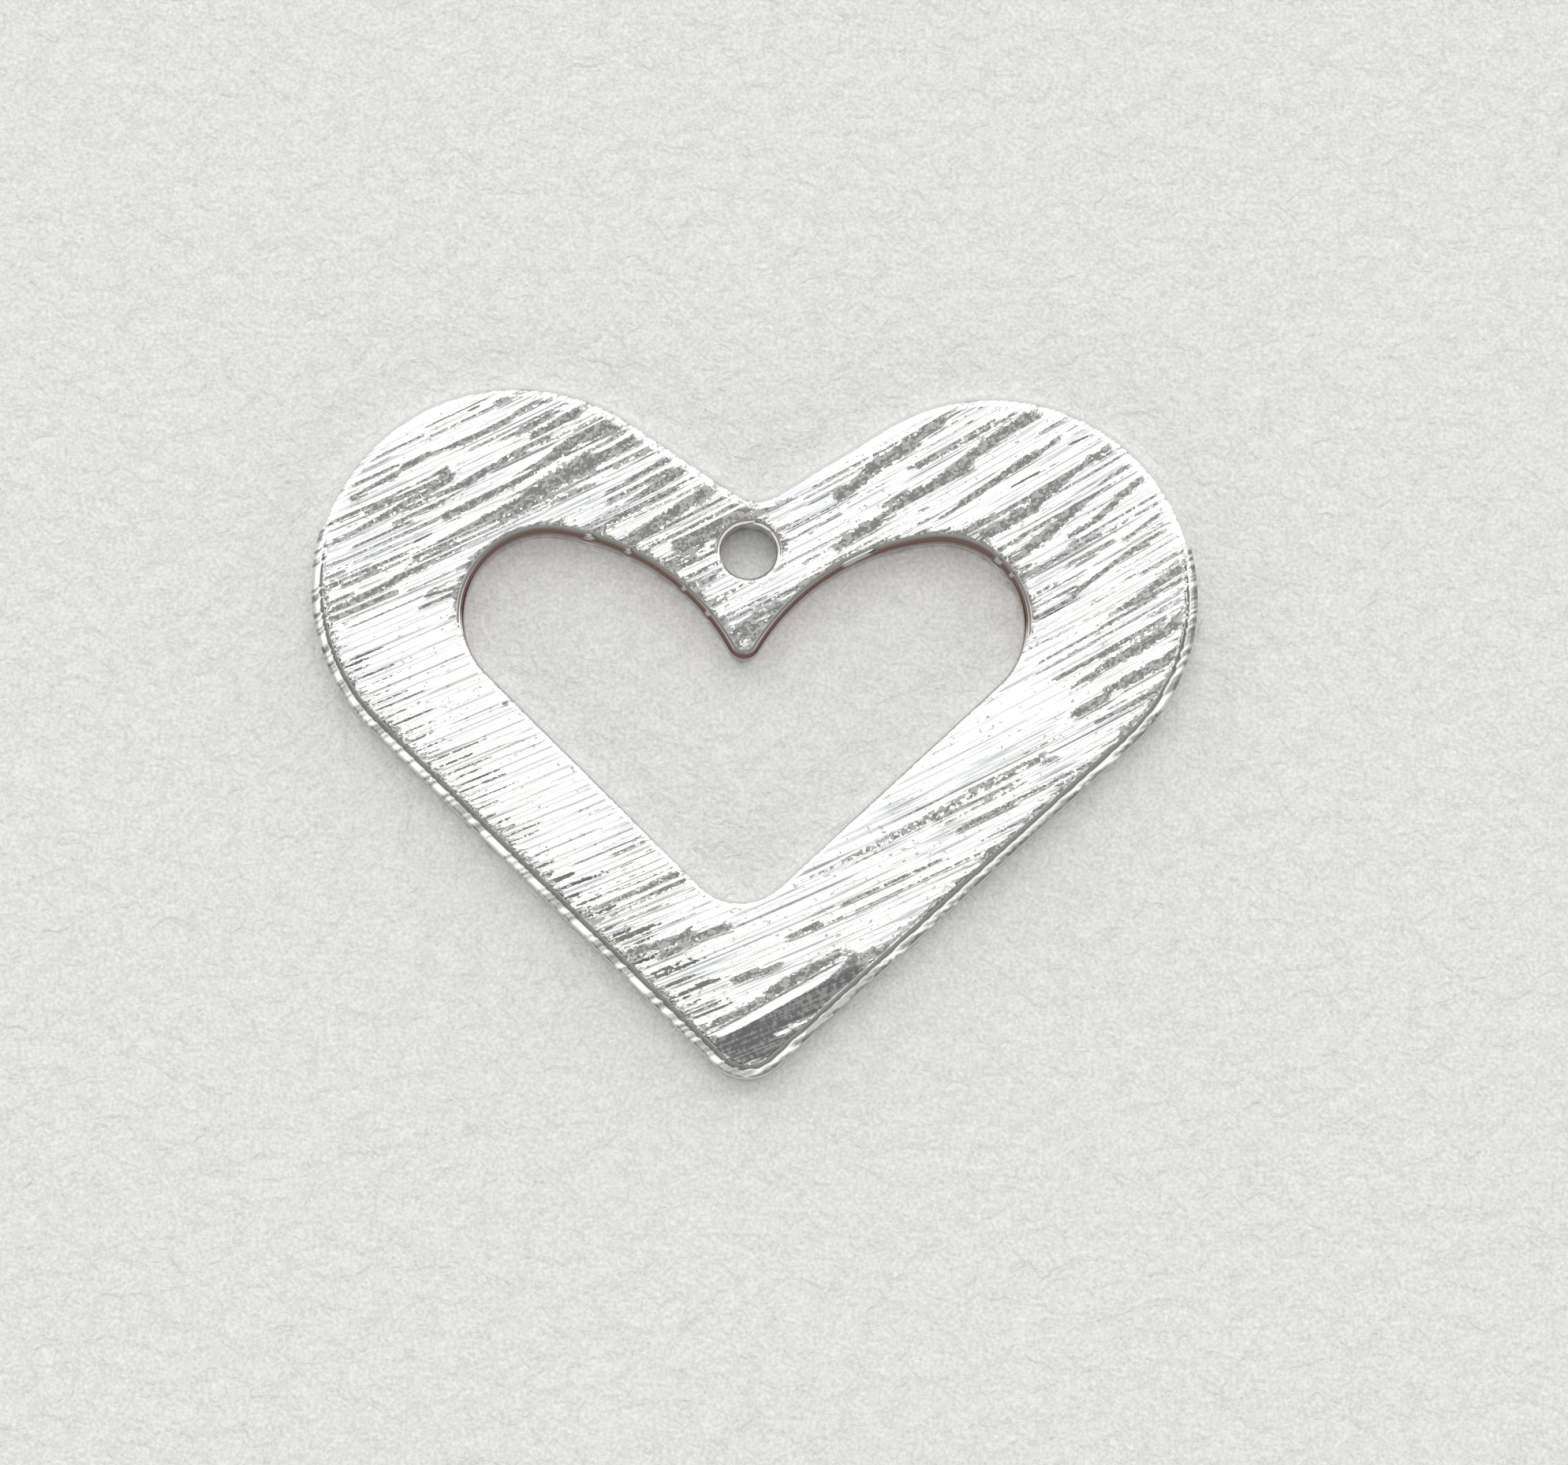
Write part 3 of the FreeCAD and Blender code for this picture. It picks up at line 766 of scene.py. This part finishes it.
# Nicks that run on over the rounded edges: some seen in the photograph, the rest scattered
NICKS = [
    (-3.51, 4.77), (-1.92, 3.83), (-1.37, 3.10), (-0.06, 5.68), (0.37, 5.43), (2.81, 4.79),
    (6.60, 4.81), (6.95, 4.42), (-4.41, 5.22),
    (1.63, -8.28), (1.30, -8.66), (0.84, -9.01), (0.59, -9.28), (0.19, -9.46), (-0.30, -9.38),
    (-0.80, -9.05), (-1.02, -8.79), (-1.26, -8.45), (-1.60, -8.09), (-1.91, -7.78), (-2.17, -7.50),
]
SCATTERED_NICKS = 250
NICK_LENGTH = 1.1
NICK_LEAST_WIDTH, NICK_MORE_WIDTH = 0.055, 0.028
NICK_STRENGTH = (0.6, 1.0)
NICK_DEPTH = 0.014
NICK_TAPER = 3
NICK_STEEP = 8
FACES_LOW = 0.25
low_edge = outer_points[outer_facing[:, 1] < FACES_LOW]
scattered = low_edge[random.integers(0, len(low_edge), SCATTERED_NICKS)]
nick_along, nick_across = brush_place(*np.concatenate([np.array(NICKS), scattered]).T)
nick_count = len(nick_along)
nick_strokes = np.column_stack([
    nick_along,
    nick_across,
    np.full(nick_count, NICK_LENGTH),
    random.gamma(2.0, NICK_MORE_WIDTH, nick_count) + NICK_LEAST_WIDTH,
    random.uniform(*NICK_STRENGTH, nick_count),
    np.zeros(nick_count),
    np.zeros(nick_count),
])


def nick_section(off, reach, length, lean):
    return np.clip(1 - off ** 2, 0, 1) * np.clip((1 - reach) * NICK_TAPER, 0, 1)


nick = laid(along, across, nick_strokes, nick_section)
nick *= np.clip((walls - FLAT_WALL) * NICK_STEEP, 0, 1) * (walls < 1)

# Places on the rim by the tip painted dark with the nicks' shade: middle and radius of each
DARK_RIM_SPOTS = [
    (-0.45, -9.25, 0.26), (1.85, -8.10, 0.26), (2.15, -7.85, 0.36), (2.65, -7.40, 0.45),
    (3.25, -6.85, 0.45),
]
DARK_RIM_REACH = 1.3
DARK_RIM_STRENGTH = 0.6
dark_rim_spots = in_patches(vertices[:, 0], vertices[:, 1], DARK_RIM_SPOTS, DARK_RIM_REACH)
dark_rim_spots = np.minimum(dark_rim_spots, DARK_RIM_STRENGTH) * (walls > 0.3) * (walls < 1)
steepness = walls * math.pi / 2
vertices[:, :2] -= facings * (nick * NICK_DEPTH * np.sin(steepness))[:, None]
vertices[:, 2] -= nick * NICK_DEPTH * np.cos(steepness)

# The sheet isn't quite flat
SAG = 0.004
wave = 2 + np.sin(0.9 * vertices[:, 0] + 0.4 * vertices[:, 1])
wave += np.sin(0.5 * vertices[:, 0] - 1.1 * vertices[:, 1] + 1)
vertices[:, 2] -= SAG * wave * (vertices[:, 2] / thickness) ** 2

mesh = bpy.data.meshes.new("heart_plate_brushed")
mesh.from_pydata((vertices * MM).tolist(), [], faces)
mesh.validate()
mesh.polygons.foreach_set("use_smooth", [True] * len(mesh.polygons))
along, across = brush_place(vertices[:, 0], vertices[:, 1])
brush = mesh.attributes.new("brush", "FLOAT_VECTOR", "POINT")
brush.data.foreach_set("vector", np.column_stack([along, across, vertices[:, 2]]).ravel())

# What the plating has to know of each point. The painted brown reflection of the dim side shows only in
# the walls that don't face the top of the heart.
CLEAN_WALL = 0.2
BROWN_LEVEL, BROWN_TURN = 0.9, 2
marks = {
    "land": land,
    "wall": walls,
    "clean": clean_share(vertices[:, 0], vertices[:, 1]) * (walls < CLEAN_WALL),
    "nick": np.maximum(nick, dark_rim_spots),
    "scratch": scratch,
    # The ridden value also picks the bright rims that face the top against the painted shade grey of
    # the rest
    "ridden": ridden * (walls > 0),
    "painted_brown": brown_reflection_share * np.clip(BROWN_LEVEL - BROWN_TURN * facings[:, 1], 0, 1),
}
for name, values in marks.items():
    mesh.attributes.new(name, "FLOAT", "POINT").data.foreach_set("value", values)
heart = bpy.data.objects.new("silver_heart", mesh)
bpy.context.scene.collection.objects.link(heart)

# Plating. Silver, bright in the grooves, with a painted grey reflection of the dim spot on the lands,
# and a brass-brown painted reflection of the dim side on the walls that face it.
BRIGHT = (0.98, 0.975, 0.965, 1)
WARM_HAIR = (0.62, 0.595, 0.575, 1)
COOL_HAIR = (0.575, 0.595, 0.62, 1)
SCRATCH = (0.19, 0.185, 0.175, 1)
# Painted grey reflection of the dim spot on the lands, darker still on the dull one at the tip
LAND_REFLECTION_DARK = (0.36, 0.363, 0.356, 1)
LAND_REFLECTION_LIGHT = (0.71, 0.71, 0.705, 1)
DULL_REFLECTION_DARK = (0.215, 0.22, 0.222, 1)
DULL_REFLECTION_LIGHT = (0.445, 0.445, 0.44, 1)
# Rims that face away from the top of the heart are painted grey shade; those that face it stay bright
RIM_PAINTED_SHADE = (0.68, 0.68, 0.675, 1)
RIM_BRIGHT = (0.95, 0.95, 0.945, 1)
# Painted shade in the rim's reflection, over the nicks and the dark places by the tip
NICK_PAINTED_SHADE = (0.17, 0.17, 0.16, 1)
# Painted brown reflection of the dim side, for the walls that face away from the top
BROWN_REFLECTION_UPPER = (0.34, 0.19, 0.165, 1)
BROWN_REFLECTION_DARK = (0.10, 0.066, 0.058, 1)
BROWN_REFLECTION_LOWER = (0.27, 0.185, 0.17, 1)
GROOVE_ROUGHNESS, CLEAN_ROUGHNESS, LAND_ROUGHNESS = 0.27, 0.38, 0.12
FLECK_HEIGHT = 0.0015 * MM
HAIR_HEIGHT = 0.001 * MM

# Grains per millimetre along the brush lines, across them and up
CRYSTAL_GRAIN = (9.0, 13.0, 3.0)
FLECK_GRAIN = (10.0, 6.0, 3.0)
HAIR_GRAIN = (0.40, 20.0, 1.0)
PATCH_GRAIN = (0.35, 1.6, 1.0)

# The values between which each mark begins to show and shows in full
RIM_SHOWS = (0.02, 0.12)
HAIR_SHOWS = (0.67, 0.80)
SCRATCH_SHOWS = (0.50, 0.62)
LAND_SHOWS = (0.35, 0.47)
DULL_SHOWS = (1.05, 1.25)
LAND_FLECK_SHOWS = (1.45, 1.8)
NICK_DARKENS = (0.34, 0.42)
FOOT_SHOWS = (0.8, 0.95)
BROWN_SHOWS = (0.37, 0.43)
BROWN_HEIGHT = (0.38, 0.45)
BROWN_DARKENS = (0.38, 0.46)
BROWN_LIGHTENS = (0.56, 0.7)
WARM_TO_COOL = (0.4, 0.6)

silver = bpy.data.materials.new("brushed_silver_plate")
silver.use_nodes = True
shader = silver.node_tree.nodes["Principled BSDF"]
shader.inputs["Metallic"].default_value = 1.0


def node(tree, kind, **settings):
    made = tree.nodes.new(kind)
    for name, value in settings.items():
        setattr(made, name, value)
    return made


def feed(socket, value):
    """Sets a socket to a number or a colour, or links another node's output to it."""
    if isinstance(value, (int, float, tuple)):
        socket.default_value = value
    else:
        socket.id_data.links.new(value, socket)


def maths(operation, first, second=0.0, **settings):
    tree = (first if hasattr(first, "id_data") else second).id_data
    made = node(tree, "ShaderNodeMath", operation=operation, **settings)
    feed(made.inputs[0], first)
    feed(made.inputs[1], second)
    return made.outputs[0]


def plus(first, second):
    return maths("ADD", first, second)


def minus(first, second):
    return maths("SUBTRACT", first, second)


def times(first, second):
    return maths("MULTIPLY", first, second)


def ranged(value, low, high, to_low=0.0, to_high=1.0, curve="SMOOTHSTEP"):
    """Goes from to_low to to_high while the value goes from low to high."""
    made = node(value.id_data, "ShaderNodeMapRange", interpolation_type=curve)
    feed(made.inputs["Value"], value)
    for name, number in zip(("From Min", "From Max", "To Min", "To Max"), (low, high, to_low, to_high)):
        feed(made.inputs[name], number)
    return made.outputs["Result"]


COLOUR_A, COLOUR_B, COLOUR_RESULT = 6, 7, 2
NUMBER_A, NUMBER_B, NUMBER_RESULT = 2, 3, 0


def colours(factor, first, second):
    made = node(factor.id_data, "ShaderNodeMix", data_type="RGBA")
    feed(made.inputs["Factor"], factor)
    feed(made.inputs[COLOUR_A], first)
    feed(made.inputs[COLOUR_B], second)
    return made.outputs[COLOUR_RESULT]


def bumped(height, distance, normal=None):
    made = node(height.id_data, "ShaderNodeBump")
    made.inputs["Strength"].default_value = 1.0
    made.inputs["Distance"].default_value = distance
    feed(made.inputs["Height"], height)
    if normal is not None:
        feed(made.inputs["Normal"], normal)
    return made.outputs["Normal"]


def attribute(name, output="Fac"):
    return node(silver.node_tree, "ShaderNodeAttribute", attribute_name=name).outputs[output]


def drawn_out(factors):
    """The place along and across the brush lines, as so many grains per millimetre each way."""
    multiply = node(silver.node_tree, "ShaderNodeVectorMath", operation="MULTIPLY")
    feed(multiply.inputs[0], brush_lines)
    feed(multiply.inputs[1], factors)
    return multiply.outputs[0]


def grain(kind, factors, detail=None):
    made = node(silver.node_tree, kind)
    made.inputs["Scale"].default_value = 1.0
    if detail is not None:
        made.inputs["Detail"].default_value = detail
    feed(made.inputs["Vector"], drawn_out(factors))
    return made.outputs


def split(vector):
    made = node(vector.id_data, "ShaderNodeSeparateXYZ")
    feed(made.inputs[0], vector)
    return made.outputs


brush_lines = attribute("brush", "Vector")
land_value = attribute("land")
wall_value = attribute("wall")
clean_value = attribute("clean")
nick_value = attribute("nick")
ridden_and_lit_value = attribute("ridden")
painted_brown_value = attribute("painted_brown")
crystal = split(grain("ShaderNodeTexVoronoi", CRYSTAL_GRAIN)["Color"])["X"]
flecks = grain("ShaderNodeTexNoise", FLECK_GRAIN, detail=3.0)["Fac"]
hairs = grain("ShaderNodeTexNoise", HAIR_GRAIN, detail=3.0)["Fac"]
patches = grain("ShaderNodeTexNoise", PATCH_GRAIN, detail=2.0)["Fac"]
rim = ranged(minus(wall_value, times(ridden_and_lit_value, 0.4)), *RIM_SHOWS)
not_rim = minus(1.0, rim)
roughen = plus(times(minus(flecks, 0.5), 1.3), times(minus(crystal, 0.5), 0.8))

# Grooves, with fine warm and cool hair lines, and the dark scratches
hair_lines = ranged(plus(hairs, times(patches, 0.35)), *HAIR_SHOWS)
hair_lines = times(hair_lines, ranged(clean_value, 0.0, 1.0, 1.0, 0.6))
hair_colour = colours(ranged(patches, *WARM_TO_COOL), WARM_HAIR, COOL_HAIR)
groove_colour = colours(hair_lines, BRIGHT, hair_colour)
scratch_shown = ranged(plus(attribute("scratch"), times(roughen, 0.7)), *SCRATCH_SHOWS)
groove_colour = colours(scratch_shown, groove_colour, SCRATCH)

# Lands: painted grey reflection of the dim spot, flecked, but streaked on the dull one at the tip
land_shown = ranged(plus(land_value, roughen), *LAND_SHOWS)
dull = ranged(land_value, *DULL_SHOWS)
land_flecks = plus(plus(times(crystal, 0.8), times(flecks, 1.5)), times(hairs, 0.8))
land_streaks = plus(times(hairs, 1.6), times(flecks, 1.5))
land_flecks = plus(times(land_flecks, minus(1.0, dull)), times(land_streaks, dull))
land_reflection_dark = colours(dull, LAND_REFLECTION_DARK, DULL_REFLECTION_DARK)
land_reflection_light = colours(dull, LAND_REFLECTION_LIGHT, DULL_REFLECTION_LIGHT)
land_reflection_colour = colours(ranged(land_flecks, *LAND_FLECK_SHOWS), land_reflection_dark, land_reflection_light)

# The rim, with painted shade on the edges that face away from the top and nicks painted dark, and the
# plated foot of the window's walls
rim_colour = colours(ridden_and_lit_value, RIM_PAINTED_SHADE, RIM_BRIGHT)
# The nicks are real dents; their near-black is painted shade that breaks the rim's reflection
nick_shade_shown = times(nick_value, ranged(wall_value, *NICK_DARKENS, 0.25, 1.0))
rim_colour = colours(nick_shade_shown, rim_colour, NICK_PAINTED_SHADE)
foot = times(ranged(wall_value, *FOOT_SHOWS), painted_brown_value)
rim_colour = colours(foot, rim_colour, RIM_BRIGHT)
plate_colour = colours(land_shown, groove_colour, colours(rim, land_reflection_colour, rim_colour))

# Painted brown reflection of the dim side between the rolled edge and the foot, darker on the roll and
# lighter down the wall
painted_brown_shown = times(ranged(wall_value, *BROWN_SHOWS), painted_brown_value)
painted_brown_shown = times(painted_brown_shown, ranged(split(brush_lines)["Z"], *BROWN_HEIGHT))
painted_brown_shown = times(painted_brown_shown, minus(1.0, nick_value))
painted_brown_colour = colours(ranged(wall_value, *BROWN_DARKENS), BROWN_REFLECTION_UPPER, BROWN_REFLECTION_DARK)
painted_brown_colour = colours(ranged(wall_value, *BROWN_LIGHTENS), painted_brown_colour, BROWN_REFLECTION_LOWER)
feed(shader.inputs["Base Color"], colours(painted_brown_shown, plate_colour, painted_brown_colour))

roughness = node(silver.node_tree, "ShaderNodeMix", data_type="FLOAT")
feed(roughness.inputs["Factor"], land_shown)
groove_roughness = ranged(clean_value, 0.0, 1.0, GROOVE_ROUGHNESS, CLEAN_ROUGHNESS, "LINEAR")
feed(roughness.inputs[NUMBER_A], groove_roughness)
feed(roughness.inputs[NUMBER_B], LAND_ROUGHNESS)
feed(shader.inputs["Roughness"], roughness.outputs[NUMBER_RESULT])
fleck_bump = bumped(times(flecks, not_rim), FLECK_HEIGHT)
feed(shader.inputs["Normal"], bumped(times(hairs, not_rim), HAIR_HEIGHT, fleck_bump))
mesh.materials.append(silver)

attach(heart, "root")
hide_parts("heart_plate")


# The floor: a sheet of white uncoated paper, its pulp a little mottled and uneven, that the charm
# lies on.

HALF_SHEET = 2000 * MM
BELOW_CHARM = -0.02 * MM
PULP_GREY = (0.70, 0.695, 0.685, 1)
PULP_WHITE = (0.93, 0.925, 0.915, 1)
PULP_GRAINS = 10000.0
TOOTH_GRAINS = 1700.0
TOOTH_HEIGHT = 0.12 * MM
paper_mesh = bpy.data.meshes.new("paper")
paper_mesh.from_pydata(
    [(x * HALF_SHEET, y * HALF_SHEET, BELOW_CHARM) for x, y in ((-1, -1), (1, -1), (1, 1), (-1, 1))],
    [],
    [(0, 1, 2, 3)],
)
paper = bpy.data.objects.new("paper", paper_mesh)
bpy.context.scene.collection.objects.link(paper)
paper_stock = bpy.data.materials.new("paper_stock")
paper_stock.use_nodes = True
paper_shader = paper_stock.node_tree.nodes["Principled BSDF"]
paper_shader.inputs["Roughness"].default_value = 0.9
paper_shader.inputs["Specular IOR Level"].default_value = 0.2
paper_place = node(paper_stock.node_tree, "ShaderNodeNewGeometry").outputs["Position"]


def paper_noise(grains, detail, curl):
    made = node(paper_stock.node_tree, "ShaderNodeTexNoise")
    made.inputs["Scale"].default_value = grains
    made.inputs["Detail"].default_value = detail
    made.inputs["Roughness"].default_value = 0.6
    made.inputs["Distortion"].default_value = curl
    feed(made.inputs["Vector"], paper_place)
    return made.outputs["Fac"]


pulp = ranged(paper_noise(PULP_GRAINS, 4.0, 0.0), 0.3, 0.7, curve="LINEAR")
feed(paper_shader.inputs["Base Color"], colours(pulp, PULP_GREY, PULP_WHITE))
feed(paper_shader.inputs["Normal"], bumped(paper_noise(TOOTH_GRAINS, 6.0, 1.2), TOOTH_HEIGHT))
paper_mesh.materials.append(paper_stock)


# Daylight: a pale room that the polished metal mirrors, with a dim spot overhead and a dim side
# towards the point of the heart, and a wide soft window behind the top of the heart.

ROOM_WHITE = (1.5, 1.5, 1.5, 1)
ROOM_DIM = (0.60, 0.60, 0.585, 1)
SIDE_UPPER = (0.40, 0.40, 0.38, 1)
SIDE_LOWER = (0.25, 0.245, 0.23, 1)
SIDE_HALF_WIDTH = 0.3
SIDE_EDGE = (0.06, 0.12)

# In degrees from straight up: where the dim side fades out low down, where its upper shade turns to
# its lower one, and the dim spot's lean, towards the top of the heart, and its size
SIDE_ENDS = (65, 61)
SIDE_SHADES = (35, 60)
SPOT_LEAN = 10.5
SPOT_INNER, SPOT_OUTER = 6, 9
TOWARDS_TOP = 90
world = bpy.data.worlds.new("pale_room")
bpy.context.scene.world = world
world.use_nodes = True
room = world.node_tree
sky_direction = node(room, "ShaderNodeTexCoord").outputs["Generated"]


def cosine(degrees):
    return math.cos(math.radians(degrees))


def spot(azimuth, from_zenith, inner, outer):
    """1 within the inner angle of a direction, falling to 0 at the outer one, all in degrees."""
    turn, lean = math.radians(azimuth), math.radians(from_zenith)
    way = (math.sin(lean) * math.cos(turn), math.sin(lean) * math.sin(turn), math.cos(lean))
    dot = node(room, "ShaderNodeVectorMath", operation="DOT_PRODUCT")
    feed(dot.inputs[0], sky_direction)
    feed(dot.inputs[1], way)
    return ranged(dot.outputs["Value"], cosine(outer), cosine(inner))


sky = split(sky_direction)
far_aside = maths("SUBTRACT", maths("ABSOLUTE", sky["X"]), SIDE_HALF_WIDTH, use_clamp=True)
dim_side = ranged(plus(far_aside, times(sky["Y"], -1.0)), *SIDE_EDGE)
dim_side = times(dim_side, ranged(sky["Z"], *map(cosine, SIDE_ENDS)))
low_down = ranged(minus(1.0, sky["Z"]), *(1 - cosine(shade) for shade in SIDE_SHADES))
side_colour = colours(low_down, SIDE_UPPER, SIDE_LOWER)
overhead = colours(spot(TOWARDS_TOP, SPOT_LEAN, SPOT_INNER, SPOT_OUTER), ROOM_WHITE, ROOM_DIM)
room_background = room.nodes["Background"]
feed(room_background.inputs["Color"], colours(dim_side, overhead, side_colour))
room_background.inputs["Strength"].default_value = 1.0

window_lamp = bpy.data.lights.new("window_light", "AREA")
window_lamp.shape = "RECTANGLE"
window_lamp.size = 160 * MM
window_lamp.size_y = 120 * MM
window_lamp.energy = 0.015
lamp = bpy.data.objects.new("window_light", window_lamp)
lamp.location = Vector((-80, 190, 200)) * MM
lamp.rotation_euler = (-lamp.location).to_track_quat("-Z", "Y").to_euler()
bpy.context.scene.collection.objects.link(lamp)


# The camera: a long lens held over the charm, a little below it on the page and turned about a
# degree, as in the photograph.

CAMERA_PLACE = Vector((-1.8165, -25.0542, 142.3024))
CAMERA_TURNS = (10.0, -1.2506, 0.9988)
lens = bpy.data.cameras.new("camera")
lens.sensor_fit = "HORIZONTAL"
lens.sensor_width = 36
lens.lens = 123.12
lens.clip_start = 0.01
camera = bpy.data.objects.new("camera", lens)
camera.location = CAMERA_PLACE * MM
camera.rotation_euler = [math.radians(turn) for turn in CAMERA_TURNS]
bpy.context.scene.collection.objects.link(camera)
bpy.context.scene.camera = camera
bpy.context.scene.view_settings.view_transform = "Standard"
